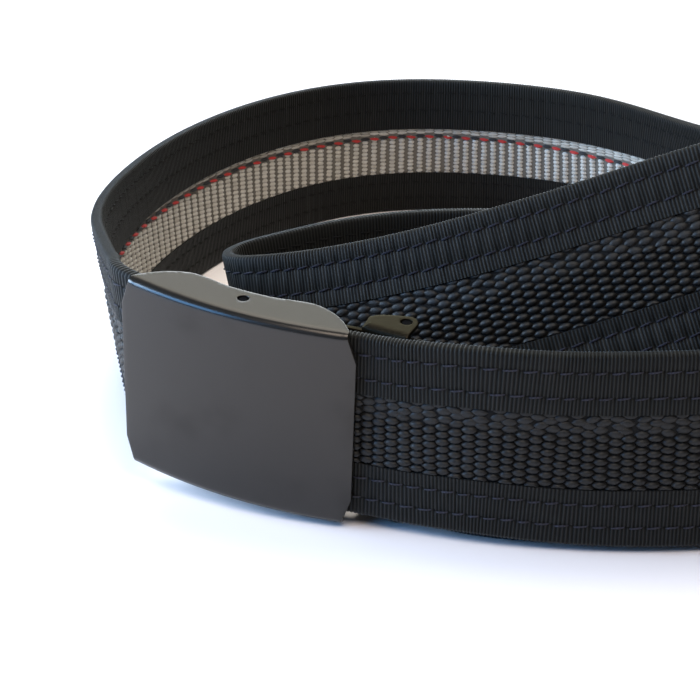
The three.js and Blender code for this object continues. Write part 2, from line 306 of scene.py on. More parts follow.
class Paint:  # one material and the nodes that are added to it
    def __init__(self, name, shown=(0.5, 0.5, 0.5)):
        self.material = bpy.data.materials.new(name)
        self.material.use_nodes = True
        self.material.diffuse_color = (*shown, 1)
        self.tree = self.material.node_tree
        self.tree.nodes.clear()

    def add(self, kind, settings=None, values=None):
        node = self.tree.nodes.new("ShaderNode" + kind)
        for name, setting in (settings or {}).items():
            setattr(node, name, setting)
        for name, value in (values or {}).items():
            if isinstance(value, Signal):
                self.tree.links.new(value.socket, node.inputs[name])
            else:
                node.inputs[name].default_value = value
        return Signal(self, node.outputs[0]) if node.outputs else None

    def mix(self, factor, first, second):
        colours = [(*c, 1) if isinstance(c, tuple) else c for c in (first, second)]
        # the sockets for colours are numbers 6 and 7, and the result is output 2
        mixed = self.add("Mix", {"data_type": "RGBA"}, {0: factor, 6: colours[0], 7: colours[1]})
        return Signal(self, mixed.socket.node.outputs[2])

    def strapCoords(self):
        uv = self.add("UVMap", {"uv_map": "strap"})
        split = self.add("SeparateXYZ", None, {0: uv})
        return split * 100, split.other("Y") * 100  # millimetres along the strap and up it

    def tone(self):
        return self.add("Attribute", {"attribute_name": "tone"}).other("Fac")

    def noise(self, scale, detail=3, rough=0.5, stretch=(1, 1, 1)):
        place = self.add("TexCoord").other("Object")
        stretched = self.add("Mapping", None, {"Vector": place, "Scale": stretch})
        values = {"Vector": stretched, "Scale": scale, "Detail": detail, "Roughness": rough}
        return self.add("TexNoise", None, values)

    def bump(self, height, strength, distance):
        values = {"Height": height, "Strength": strength, "Distance": distance * mm}
        return self.add("Bump", None, values)

    def surface(self, values):
        shader = self.add("BsdfPrincipled", None, values)
        self.add("OutputMaterial", None, {"Surface": shader})
        return self.material


def tapePaint():
    look = {
        "dark": (0.0018, 0.0019, 0.0019),
        "crest": (0.0112, 0.0116, 0.0104),
        "worn": (0.023, 0.0226, 0.0198),
        "yarnPitch": 0.3,
        "rough": 0.66,
    }
    paint = Paint("ribbedTape", look["crest"])
    along, up = paint.strapCoords()
    crest = (along * (math.pi / binding["ribPitch"])).sine() ** 2
    yarn = (up * (2 * math.pi / look["yarnPitch"]) + paint.noise(900) * 3).sine() * 0.5 + 0.5
    patches = paint.noise(120, 4, 0.6)
    fuzz = paint.noise(2600, 2, 0.7)
    # painted shade round the needle holes, read from the tone
    holes = paint.tone().between(0.15, 0.9)
    # painted shade: the rib valleys take the dark colour and the crests the lighter one
    ribbed = paint.mix(crest.between(0.3, 0.95) * (1 - holes), look["dark"], look["crest"])
    worn = patches.between(0.5, 0.8) * crest * 0.35 + (fuzz * crest).between(0.45, 0.9) * 0.35
    return paint.surface(
        {
            "Base Color": paint.mix(worn, ribbed, look["worn"]),
            "Roughness": fuzz * 0.2 + look["rough"] - crest * 0.2,
            "Specular IOR Level": 0.17,
            "Sheen Weight": 0.13,
            "Sheen Roughness": 0.3,
            "Sheen Tint": (0.85, 0.93, 1.0, 1),
            "Normal": paint.bump(crest * 2.5 + yarn * 0.4 + fuzz * 0.6, 0.5, 0.05),
        }
    )


def blackWeavePaint():
    look = {
        "gapShade": (0.0015, 0.0015, 0.0018),
        "dark": (0.0034, 0.0034, 0.0036),
        "worn": (0.0142, 0.0142, 0.0144),
        "dusty": (0.015, 0.0148, 0.016),
    }
    paint = Paint("blackWeave", look["worn"])
    fuzz = paint.noise(2200, 3, 0.7)
    filaments = paint.noise(1500, 2, 0.6, (1, 1, 5))
    tone = paint.tone()
    wear = (fuzz * 0.6 + filaments * 0.4 + tone * 0.3).between(0.35, 0.95)
    yarn = paint.mix(wear, look["dark"], look["worn"])
    raised = tone.between(0.0, 0.15)
    # painted shade: the sheet between the floats, where the tone is nought, takes the gap shade
    # colour
    base = paint.mix(raised, look["gapShade"], yarn)
    dusty = (tone - 0.5).between(0.0, 0.6) * fuzz.between(0.4, 0.75)
    return paint.surface(
        {
            "Base Color": paint.mix(dusty, base, look["dusty"]),
            "Roughness": tone * 0.15 + 0.38 + fuzz * 0.1 + (1 - raised) * 0.45,
            "Specular IOR Level": 0.28,
            "Normal": paint.bump(fuzz + filaments, 0.6, 0.06),
        }
    )


def greyWeavePaint():
    look = {
        "gapShade": (0.12, 0.11, 0.095),
        "shade": (0.205, 0.19, 0.158),
        "light": (0.445, 0.425, 0.385),
    }
    paint = Paint("greyWeave", look["light"])
    fuzz = paint.noise(1800, 3, 0.7)
    tone = paint.tone()
    yarn = paint.mix((tone * 0.8 + fuzz * 0.4).between(0.2, 0.95), look["shade"], look["light"])
    return paint.surface(
        {
            # painted shade: the sheet between the yarns, where the tone is nought, takes the gap
            # shade colour
            "Base Color": paint.mix(tone.between(0.0, 0.12), look["gapShade"], yarn),
            "Roughness": fuzz * 0.1 + 0.8,
            "Specular IOR Level": 0.2,
            "Normal": paint.bump(fuzz, 0.5, 0.06),
        }
    )


threads = {
    "sewingThread": {"dark": (0.005, 0.005, 0.009), "light": (0.024, 0.025, 0.042), "shine": 0.25},
    "bobbinThread": {"dark": (0.006, 0.006, 0.006), "light": (0.011, 0.011, 0.0105), "shine": 0.1},
}


def threadPaint(name):
    look = threads[name]
    paint = Paint(name, look["light"])
    twist = paint.noise(3000, 2, 0.6)
    return paint.surface(
        {
            "Base Color": paint.mix(twist.between(0.3, 0.8), look["dark"], look["light"]),
            "Roughness": twist * 0.2 + 0.75 - look["shine"],
            "Specular IOR Level": look["shine"],
            "Normal": paint.bump(twist, 0.4, 0.03),
        }
    )


def tracerPaint():
    look = {"red": (0.33, 0.017, 0.015), "black": (0.008, 0.008, 0.01)}
    paint = Paint("tracerYarn", look["red"])
    fuzz = paint.noise(2500, 2, 0.6)
    return paint.surface(
        {
            "Base Color": paint.mix(paint.tone(), look["black"], look["red"]),
            "Roughness": fuzz * 0.1 + 0.7,
            "Normal": paint.bump(fuzz, 0.5, 0.05),
        }
    )


def gunmetalPaint():
    look = {"base": (0.046, 0.0425, 0.0395), "smudge": (0.037, 0.034, 0.0315)}
    paint = Paint("gunmetal", look["base"])
    smudges = paint.noise(70, 4, 0.6).between(0.5, 0.75)
    grain = paint.noise(4000, 2, 0.6)
    return paint.surface(
        {
            "Base Color": paint.mix(smudges, look["base"], look["smudge"]),
            "Metallic": 0.8,
            "Roughness": smudges * -0.03 + 0.22 + grain * 0.05,
            "Specular IOR Level": 0.5,
            "Normal": paint.bump(grain, 0.12, 0.02),
        }
    )


def clipSteelPaint():
    look = {"base": (0.0115, 0.0098, 0.007), "worn": (0.024, 0.0205, 0.0145), "rough": 0.34}
    paint = Paint("clipSteel", look["base"])
    brushed = paint.noise(500, 3, 0.6, (1, 12, 12))
    return paint.surface(
        {
            "Base Color": paint.mix(brushed.between(0.35, 0.8), look["base"], look["worn"]),
            "Metallic": 0.7,
            "Roughness": brushed * 0.12 + look["rough"],
            "Specular IOR Level": 0.06,
            "Specular Tint": (0.62, 0.6, 0.52, 1),
            "Normal": paint.bump(brushed, 0.12, 0.02),
        }
    )


def pinPaint():
    # painted shade: the pin is painted near black so that its hole in the case reads as shade, and
    # the clip's lever gets the same paint
    look = {"deepShade": (0.0015, 0.0015, 0.002), "worn": (0.004, 0.004, 0.006)}
    paint = Paint("shadeBlackMetal", look["worn"])
    mottle = paint.noise(900, 3, 0.6)
    return paint.surface(
        {
            "Base Color": paint.mix(mottle.between(0.4, 0.8), look["deepShade"], look["worn"]),
            "Roughness": mottle * 0.2 + 0.7,
            "Specular IOR Level": 0.03,
            "Normal": paint.bump(mottle, 0.2, 0.02),
        }
    )


# The two bindings: ribbed tape folded over the strap's edges.

binding = {
    "ribPitch": 0.72,
    "ribDepth": 0.2,
    "samplesPerRib": 3,
    "tape": 0.4,
    "floor": 0.5,
    "onOuterFace": 12.0,
    "lowerOnInnerFace": 11.7,
    "upperOnInnerFace": 14.3,
    "stitchDip": 0.07,
    "needleDip": 0.36,
    "needleReach": 0.5,
    "stitchNear": 0.42,
    "innerStitchShare": 0.12,
    "edge": 0.06,
    # where the tape turns over the strap's edge: height, how far in from the face, rib's share
    "fold": ((0.8, 0.0, 1), (0.2, 0.32, 1.5), (0.0, 0.98, 1.5)),
    "uneven": (0.94, 1.06),
}

stitching = {
    "pitch": 3.3,
    "lowerRows": (4.3, 8.9),
    "upperRows": (3.5, 8.6),
    "rowShift": 0.37,
    "pitchSpread": 0.12,
    "holeSeed": 40,
    "slantSeed": 80,
    "reach": (0.13, 0.74),
    "radius": 0.2,
    "endRadius": 0.55,
    "rings": 6,
    "sides": 5,
    "proud": 0.1,
    "sunk": 0.12,
    "slant": 0.16,
    "slantSpread": 0.04,
}


def needleHoles(row):  # where the needle went in, along one row of stitches
    draws = np.random.default_rng(stitching["holeSeed"] + row)
    count = int(strapLength / stitching["pitch"])
    places = (np.arange(count) + 0.5 + stitching["rowShift"] * row) * stitching["pitch"]
    return places + draws.normal(0, stitching["pitchSpread"], count)


def tapeProfile(onInner, rows):
    # height from the folded edge, side, share of the rib, number of the stitch row or -1
    face, near, edge = strap["thickness"] / 2, binding["stitchNear"], binding["edge"]
    back = face - binding["tape"]
    profile = [(onInner, back, 0, -1), (onInner - edge, face, 1, -1)]
    for number, row in ((1, rows[1]), (0, rows[0])):
        profile += [(row + near, face, 1, -1), (row, face, 1, number), (row - near, face, 1, -1)]
    profile += [(height, face - inwards, rib, -1) for height, inwards, rib in binding["fold"]]
    for height, side, rib, row in profile[:1:-1]:
        profile.append((height, -side, rib, row + 2 if row >= 0 else -1))
    outer, floor = binding["onOuterFace"], binding["floor"]
    profile += [(outer - edge, -face, 1, -1), (outer, -back, 0, -1)]
    return np.array([*profile, (floor, -back, 0, -1), (floor, back, 0, -1)])


def stitchDips(lengths, row):
    # how far one row of stitches draws the tape in, and how near each place is to a needle hole
    holes = needleHoles(row)
    after = np.searchsorted(holes, lengths).clip(1, len(holes) - 1)
    nearest = np.minimum(np.abs(lengths - holes[after]), np.abs(lengths - holes[after - 1]))
    holes = np.exp(-((nearest / binding["needleReach"]) ** 2))
    return binding["stitchDip"] + binding["needleDip"] * holes, holes


def makeBinding(name, node, upper, material):
    onInner = binding["upperOnInnerFace" if upper else "lowerOnInnerFace"]
    profile = tapeProfile(onInner, stitching["upperRows" if upper else "lowerRows"])
    ribs = int(strapLength / binding["ribPitch"])
    lengths = np.linspace(0, ribs * binding["ribPitch"], ribs * binding["samplesPerRib"] + 1)
    lengths[-1] = strapLength
    valley = np.cos(lengths * (2 * math.pi / binding["ribPitch"])) * 0.5 + 0.5
    heights = np.tile(profile[:, 0], (len(lengths), 1))
    sides = np.tile(profile[:, 1], (len(lengths), 1))
    uneven = np.repeat(rng.uniform(*binding["uneven"], ribs + 1), binding["samplesPerRib"])
    uneven = uneven[: len(lengths)]
    depth = binding["ribDepth"] * (valley**1.5 * uneven)[:, None] * profile[:, 2]
    tone = np.zeros_like(depth)
    for column, stitchRow in enumerate(profile[:, 3].astype(int)):
        if stitchRow >= 0:
            dip, holes = stitchDips(lengths, stitchRow + (4 if upper else 0))
            share = 1 if stitchRow > 1 else binding["innerStitchShare"]
            depth[:, column] += dip * share
            # the tone keeps how near each place is to a needle hole, for the painted shade round
            # the holes
            tone[:, column] = holes * share
    # ribs and stitches press the tape in: upwards at its folded edge, and sideways elsewhere
    atEdge = profile[:, 0] == 0
    sides -= depth * np.where(atEdge, 0, np.sign(profile[:, 1]))
    heights += depth * atEdge
    if upper:
        heights = strap["width"] - heights
    points, faces, coords = sweepStrap(lengths, heights, sides)
    if not upper:
        faces = turnedOver(faces)
    piece = makePiece(name, material, points, faces, coords, tone.ravel(), seams=75)
    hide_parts(node)


def oneStitch(start, end, height, side, draws):
    steps = np.linspace(0, 1, stitching["rings"])
    first, share = stitching["reach"]
    lengths = start + (end - start) * (first + share * steps)
    arch = np.sin(math.pi * steps) ** 0.6
    lift = stitching["proud"] * arch - stitching["sunk"] * (1 - arch)
    ends = stitching["endRadius"]
    width = stitching["radius"] * (ends + (1 - ends) * np.sin(math.pi * steps) ** 0.5)
    slant = stitching["slant"] * (steps - 0.5) * 2 + draws.normal(0, stitching["slantSpread"])
    turn = np.linspace(0, 2 * math.pi, stitching["sides"], endpoint=False)
    heights = height + slant[:, None] + width[:, None] * np.cos(turn)
    sides = side + np.sign(side) * (lift[:, None] + width[:, None] * np.sin(turn))
    return np.broadcast_to(lengths[:, None], heights.shape), heights, sides


def makeStitching(name, side, material):
    face = side * strap["thickness"] / 2
    rows = dict(zip((0, 1), stitching["lowerRows"]))
    rows.update(zip((4, 5), (strap["width"] - height for height in stitching["upperRows"])))
    stitches = []
    for number, height in rows.items():
        row = number + (0 if side > 0 else 2)
        holes = needleHoles(row)
        draws = np.random.default_rng(stitching["slantSeed"] + row)
        stitches += [oneStitch(*ends, height, face, draws) for ends in zip(holes[:-1], holes[1:])]
    points = onStrap(*(np.stack(values) for values in zip(*stitches)))
    rings, around = stitching["rings"], stitching["sides"]
    faces = repeated(tubeFaces(rings, around), len(points), rings * around)
    if side < 0:
        faces = turnedOver(faces)
    piece = makePiece(name, material, points.reshape(-1, 3), faces)


# The hose: a sheet under rows of woven floats, painted in the shade seen in the gaps between them.

weave = {
    "columnPitch": 2.42,
    "rowPitch": 1.58,
    "floatLength": 3.15,
    "floatHeight": 1.74,
    "floatRise": 0.98,
    "sheetBack": 0.1,
    "sheetFace": 0.74,
    "sheetInset": 0.8,
    "sheetSteps": 660,
    "sunk": 0.18,
    "bottom": 12.2,
    "top": 27.0,
    "sides": 8,
    "rings": (1.0, 0.8, 0.45, 0.0),
    "pointed": 0.08,
    # the floats stay this far under the tape, and rise by the slope from this far beyond its edge
    "underTape": 0.03,
    "clearFrom": 0.05,
    "clearSlope": 2.5,
    "sizeSpread": (0.95, 1.05),
    "riseSpread": (0.92, 1.08),
    # the upper rows are looser: each pair is for the even rows, then for the loose ones
    "looseRows": 3,
    "lengthSpread": (0.05, 0.28),
    "heightSpread": (0.03, 0.12),
    "lengthShare": (1.0, 1.05),
    "heightShare": (1.0, 1.08),
    "riseShare": (1.0, 0.64),
    "tiltSpread": (0.02, 0.1),
    "tones": ((0.25, 0.5), (0.45, 0.8)),
}


def sheetMesh(inner):
    lengths = np.linspace(0, strapLength, weave["sheetSteps"])
    near, far = weave["sheetBack"], weave["sheetFace"]
    low, high = weave["sheetInset"], strap["width"] - weave["sheetInset"]
    profile = np.array([(low, near), (low, far), (high, far), (high, near)])
    heights = np.tile(profile[:, 0], (len(lengths), 1))
    sides = np.tile(profile[:, 1] if inner else -profile[:, 1], (len(lengths), 1))
    points, faces, coords = sweepStrap(lengths, heights, sides)
    # the sheet's tone is nought, which gives it the painted shade of the gaps
    return points, faces if inner else turnedOver(faces), coords, np.zeros(len(points))


def domeShape(rings):
    # a pillow with slightly pointed ends in outline, and how high it is at each of its points
    turn = np.linspace(0, 2 * math.pi, weave["sides"], endpoint=False)
    flat, lifts = [], []
    for ring in rings:
        spots = turn if ring else turn[:1]
        bulge = 1 - weave["pointed"] * np.abs(np.sin(2 * spots))
        flat.append(np.stack([ring * np.cos(spots) * bulge, ring * np.sin(spots) * bulge], -1))
        lifts.append(np.full(len(spots), math.sqrt(1 - ring**3)))
    return np.concatenate(flat), np.concatenate(lifts)


def domeFaces(rings):
    around = weave["sides"]
    here = np.arange(around)
    crown = rings * around
    last = here + crown - around
    fan = np.stack([last, np.roll(last, -1), np.full(around, crown)], -1)
    return [ringQuads(rings, around), fan]


def floatMeshes(centres, half, rise, inner, tilt, tone, rings):
    # centres: length and height of each float; half: half its length and half its height
    flat, lifts = domeShape(rings)
    flat = flat[None] * half[:, None]
    lengths = centres[:, :1] + flat[..., 0]
    heights = centres[:, 1:] + flat[..., 1] + tilt[:, None] * flat[..., 0]
    # what reaches past the tape's edge goes under the tape
    low = binding["lowerOnInnerFace"] if inner else binding["onOuterFace"]
    high = strap["width"] - (binding["upperOnInnerFace"] if inner else binding["onOuterFace"])
    clear = np.minimum(heights - low, high - heights)
    roof = strap["thickness"] / 2 - binding["tape"] - weave["underTape"]
    roof = roof + np.maximum(clear - weave["clearFrom"], 0) * weave["clearSlope"]
    base = weave["sheetFace"] - weave["sunk"]
    sides = np.minimum(base + rise[:, None] * lifts, roof) * (1 if inner else -1)
    points = onStrap(np.clip(lengths, 0, strapLength), heights, sides)
    faces = repeated(domeFaces(len(rings) - 1), len(centres), len(lifts))
    coords = np.stack([lengths, heights], -1).reshape(-1, 2)
    tones = np.repeat(tone, len(lifts))
    return points.reshape(-1, 3), turnedOver(faces) if inner else faces, coords, tones


def makeOuterWeave(material):
    columns = int(strapLength / weave["columnPitch"])
    rows = int((weave["top"] - weave["bottom"]) / weave["rowPitch"]) + 1
    grids = np.meshgrid(np.arange(columns), np.arange(rows), indexing="ij")
    column, row = (grid.ravel() for grid in grids)
    loose = row >= rows - weave["looseRows"]
    count = len(row)

    def pick(name):
        return np.where(loose, weave[name][1], weave[name][0])

    length = (column + 0.5) * weave["columnPitch"]
    length = length + rng.normal(0, 1, count) * pick("lengthSpread")
    height = weave["bottom"] + (row + 0.5 * (column % 2)) * weave["rowPitch"]
    height = height + rng.normal(0, 1, count) * pick("heightSpread")
    halfLength = weave["floatLength"] / 2 * pick("lengthShare")
    halfLength = halfLength * rng.uniform(*weave["sizeSpread"], count)
    halfHeight = weave["floatHeight"] / 2 * pick("heightShare")
    halfHeight = halfHeight * rng.uniform(*weave["sizeSpread"], count)
    rise = weave["floatRise"] * pick("riseShare") * rng.uniform(*weave["riseSpread"], count)
    tilt = rng.normal(0, 1, count) * pick("tiltSpread")
    even, astray = weave["tones"]
    looseTone = rng.uniform(*astray, count)
    tone = np.where(loose, looseTone, rng.uniform(*even, count))
    centres = np.stack([length, height], -1)
    half = np.stack([halfLength, halfHeight], -1)
    floats = floatMeshes(centres, half, rise, False, tilt, tone, weave["rings"])
    piece = makePiece("outer_weave", material, *joinMeshes(sheetMesh(False), floats))
    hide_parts("outer_webbing")


greyWeave = {
    # the columns' spacing, at lengths along the strap
    "pitchAt": (0, 590, 610, 625, 650, 675, 692, 725, 745, 990),
    "columnPitch": (2.75, 2.9, 2.75, 2.62, 2.62, 2.83, 2.97, 3.35, 3.4, 3.4),
    "firstColumn": 1.3,
    "lastColumn": 3,
    "columnShare": 0.77,
    "rowPitch": 1.15,
    "rowShare": 0.72,
    "rise": 0.8,
    "bottom": 11.2,
    "top": 25.4,
    "placeSpread": 0.04,
    "toneSpread": 0.08,
    "tiltSpread": 0.03,
    # how far the weave stays below and above the tracer
    "belowTracer": 0.45,
    "aboveTracer": 1.05,
    # the weave above the tracer
    "selvedgePitch": 0.8,
    "selvedgeShift": 0.3,
    "selvedgeHalf": (0.68, 0.62),
    "selvedgeRise": 0.55,
    "tones": (0.8, 0.5),
    "rings": (1.0, 0.6, 0.0),
}


def columnPlaces():
    def pitch(length):
        return np.interp(length, greyWeave["pitchAt"], greyWeave["columnPitch"])

    places = [greyWeave["firstColumn"]]
    while places[-1] < strapLength - greyWeave["lastColumn"]:
        places.append(places[-1] + pitch(places[-1]))
    return np.array(places), pitch(places)


tracer = {
    # how far it runs below the upper tape, at lengths along the strap
    "at": (0, 250, 420, 560, 600, 616, 630, 645, 660, 692, 725, 772, 990),
    "below": (2.2, 1.6, 2.4, 3.3, 3.4, 2.9, 2.8, 2.4, 2.2, 2.3, 1.9, 1.2, 1.8),
    "wander": 0.12,
    "wanderLength": 11.0,
    "heightSpread": 0.06,
    "halfLength": 0.58,
    "halfHeight": 0.47,
    "rise": 1.0,
    # black dashes, then red ones
    "lift": (0.12, -0.18),
    "tilt": (0.02, 0.1),
}


def tracerHeight(length):
    edge = strap["width"] - binding["upperOnInnerFace"]
    below = np.interp(length, tracer["at"], tracer["below"])
    return edge - below + tracer["wander"] * np.sin(length / tracer["wanderLength"])


def makeInnerWeave(material):
    floats = []  # length, height, half length, half height, rise and tone
    rise, rowPitch = greyWeave["rise"], greyWeave["rowPitch"]
    lowRise = rise * greyWeave["selvedgeRise"]
    tones, (widthShare, halfHeight) = greyWeave["tones"], greyWeave["selvedgeHalf"]
    for index, (length, pitch) in enumerate(zip(*columnPlaces())):
        odd, middle = index % 2, tracerHeight(length)
        half = pitch / 2 * greyWeave["columnShare"]
        first, end = greyWeave["bottom"] + 0.5 * rowPitch * odd, middle - greyWeave["belowTracer"]
        for height in np.arange(first, end, rowPitch):
            floats.append((length, height, half, rowPitch * greyWeave["rowShare"], rise, tones[0]))
        half = pitch * widthShare
        first = middle + greyWeave["aboveTracer"] + greyWeave["selvedgeShift"] * odd
        for height in np.arange(first, greyWeave["top"], greyWeave["selvedgePitch"]):
            floats.append((length, height, half, halfHeight, lowRise, tones[1]))
    floats = np.array(floats)
    count = len(floats)
    centres = floats[:, :2] + rng.normal(0, greyWeave["placeSpread"], (count, 2))
    tone = floats[:, 5] + rng.normal(0, greyWeave["toneSpread"], count)
    tilt = rng.normal(0, greyWeave["tiltSpread"], count)
    yarns = floatMeshes(centres, floats[:, 2:4], floats[:, 4], True, tilt, tone, greyWeave["rings"])
    piece = makePiece("inner_weave", material, *joinMeshes(sheetMesh(True), yarns))
    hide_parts("inner_webbing")


def makeTracer(material):
    length, pitch = columnPlaces()
    count = len(length)
    red = np.arange(count) % 2
    height = tracerHeight(length) + rng.normal(0, tracer["heightSpread"], count)
    height = height + np.array(tracer["lift"])[red]
    half = np.stack([pitch * tracer["halfLength"], np.full(count, tracer["halfHeight"])], -1)
    tilt = np.array(tracer["tilt"])[red]
    rise = np.full(count, tracer["rise"])
    centres = np.stack([length, height], -1)
    dashes = floatMeshes(centres, half, rise, True, tilt, red.astype(float), greyWeave["rings"])
    piece = makePiece("tracer_yarn", material, *dashes)


# The buckle's sheet metal.

case = {
    "length": 49.4,
    "height": 42.1,
    "sheet": 0.9,
    "bend": 1.4,
    "bulge": 3.1,
    "cornerLength": 2.0,
    "cornerHeight": 6.0,
    # the flange's back edge: distance from the plate's middle, and depth behind its chord
    "flange": (
        (22.5, 1.4),
        (20.8, 3.3),
        (19.3, 4.55),
        (17.7, 5.7),
        (14.0, 7.15),
        (10.5, 7.15),
        (5.0, 6.05),
        (0.0, 5.8),
    ),
    "flangeStep": 0.5,
    # the flange's points start this far beyond the bend
    "flangeClear": 0.15,
    "holeRadius": 1.15,
    "holeSides": 28,
    "rim": 0.12,
    "grid": 0.8,
    # points along the plate's end, up to its corner's cut and along the cut
    "endPoints": (30, 24),
}

clip = {
    "sheet": 0.9,
    "bend": 1.1,
    # the flange's back edge: along the wall, and depth behind its front
    "flange": (
        (9.1, 5.2),
        (8.3, 6.6),
        (7.2, 7.1),
        (6.2, 6.9),
        (4.9, 6.5),
        (3.2, 5.9),
        (1.2, 4.85),
        (0.0, 3.6),
    ),
    "flangeStep": 0.35,
    "hole": (6.85, 4.95),
    "holeRadius": 1.15,
    "holeSides": 20,
    "rim": 0.12,
    "grid": 0.6,
    "endPoints": 30,
}

# The tongue that runs from the clip to the case's pin, and the eye round that pin. Its outline
# is seen from above, so its sheet is as thick as the tongue is wide.
link = {
    "eyeRadius": 1.8,
    "eyeSpan": (80, 390),
    "eyeSides": 40,
    "sheet": 38.5,
    "middle": -0.25,
    "overlap": 0.4,
    "back": 0.32,
    "rim": 0.12,
    "grid": 1.5,
}


def smoothLine(points, step):
    # a curve through the points, with a point every step or so
    points = np.array(points, float)
    padded = np.vstack([2 * points[0] - points[1], points, 2 * points[-1] - points[-2]])
    line = []
    for i in range(len(points) - 1):
        a, b, c, d = padded[i : i + 4]
        count = max(1, int(np.linalg.norm(c - b) / step))
        t = (np.arange(count) / count)[:, None]
        square, cube = 2 * a - 5 * b + 4 * c - d, 3 * b - a - 3 * c + d
        line.append(0.5 * (2 * b + (c - a) * t + square * t**2 + cube * t**3))
    return np.vstack([*line, points[-1:]])


def inward(outline, distance):  # a closed line moved to its left, which is into the metal
    ahead = np.roll(outline, -1, 0) - outline
    behind = outline - np.roll(outline, 1, 0)
    ahead /= np.linalg.norm(ahead, axis=1, keepdims=True)
    behind /= np.linalg.norm(behind, axis=1, keepdims=True)
    middle = ahead + behind
    middle /= np.linalg.norm(middle, axis=1, keepdims=True)
    normal = np.stack([-middle[:, 1], middle[:, 0]], -1)
    square = np.stack([-ahead[:, 1], ahead[:, 0]], -1)
    sharpness = np.maximum(np.sum(normal * square, 1, keepdims=True), 0.5)
    return outline + normal * distance / sharpness


def insideOf(points, outline):  # an odd count of crossings to the right is inside
    x, y = points[:, :1], points[:, 1:]
    x0, y0 = outline[:, 0], outline[:, 1]
    x1, y1 = np.roll(x0, -1), np.roll(y0, -1)
    crosses = (y0 > y) != (y1 > y)
    with np.errstate(divide="ignore", invalid="ignore"):
        at = (x1 - x0) * (y - y0) / (y1 - y0) + x0
    return (crosses & (x < at)).sum(1) % 2 == 1


def bentSheet(name, metal, outline, holes, bend, material):
    # outline runs anticlockwise and holes clockwise, all in the sheet's flat state
    thickness, rim, grid = metal["sheet"], metal["rim"], metal["grid"]
    clear = rim + grid * 0.4  # the grid's points stay this far from every edge
    loops = [outline, *holes]
    inset = [inward(loop, rim) for loop in loops]
    low, high = outline.min(0), outline.max(0)
    xs = np.arange(low[0] + grid / 2, high[0], grid)
    ys = np.arange(low[1] + grid / 2, high[1], grid)
    spots = np.stack(np.meshgrid(xs, ys), -1).reshape(-1, 2)
    keep = insideOf(spots, inward(outline, clear))
    for hole in holes:
        keep &= ~insideOf(spots, inward(hole, clear))
    spots = spots[keep]
    flat = np.vstack([*inset, spots])
    edges, start = [], 0
    for loop in inset:
        here = np.arange(len(loop))
        edges += [(int(a), int(b)) for a, b in zip(start + here, start + np.roll(here, -1))]
        start += len(loop)
    _, _, triangles, *_ = geometry.delaunay_2d_cdt([Vector(p) for p in flat], edges, [], 1, 1e-6)
    triangles = np.array([t for t in triangles if len(t) == 3])
    middles = flat[triangles].mean(1)
    keep = np.ones(len(triangles), bool)
    for hole in inset[1:]:
        keep &= ~insideOf(middles, hole)
    triangles = triangles[keep]
    corners = flat[triangles]
    first, second = corners[:, 1] - corners[:, 0], corners[:, 2] - corners[:, 0]
    turned = first[:, 0] * second[:, 1] - first[:, 1] * second[:, 0] < 0
    triangles[turned] = triangles[turned][:, ::-1]
    top = bend(flat, thickness / 2)
    bottom = bend(flat, -thickness / 2)
    points = [top, bottom]
    faces = [triangles, triangles[:, ::-1] + len(flat)]
    # each edge is rounded by a quarter turn at each face, in a few steps
    start, count, steps = 0, 2 * len(flat), 3
    for loop in loops:
        here = np.arange(len(loop))
        rings = [start + here]
        for face in (1, -1):
            order = range(1, steps + 1) if face > 0 else range(steps, 0, -1)
            for step in order:
                angle = step / steps * math.pi / 2
                lift = face * (thickness / 2 - rim * (1 - math.cos(angle)))
                points.append(bend(inward(loop, rim * (1 - math.sin(angle))), lift))
                rings.append(count + here)
                count += len(loop)
        rings.append(len(flat) + start + here)
        for a, b in zip(rings[:-1], rings[1:]):
            faces.append(np.stack([a, b, np.roll(b, -1), np.roll(a, -1)], -1))
        start += len(loop)
    return makePiece(name, material, np.vstack(points), faces, seams=50)


def ringAt(centre, radius, count):
    turn = -np.linspace(0, 2 * math.pi, count, endpoint=False)
    return np.array(centre) + radius * np.stack([np.cos(turn), np.sin(turn)], -1)


def bendChannel(metal, place, frontAt):
    # flat coordinates: the place along the wall, and the way from its middle line round the bends
    bendRadius = metal["bend"]
    straight = case["height"] / 2 - bendRadius
    midRadius = bendRadius - metal["sheet"] / 2

    def bend(flat, lift):
        along, across = flat[:, 0], flat[:, 1]
        rise = np.abs(across)
        angle = np.clip((rise - straight) / midRadius, 0, math.pi / 2)
        beyond = np.maximum(rise - straight - midRadius * math.pi / 2, 0)
        depth = frontAt(along) + bendRadius - (midRadius + lift) * np.cos(angle) + beyond
        height = np.sign(across) * (np.minimum(rise, straight) + (midRadius + lift) * np.sin(angle))
        return np.stack([along, depth, height], -1) @ caseTurn.T + place

    return bend, straight, straight + midRadius * math.pi / 2


def frontOfCase(along):
    return -case["bulge"] * (1 - (along / (case["length"] / 2)) ** 2)


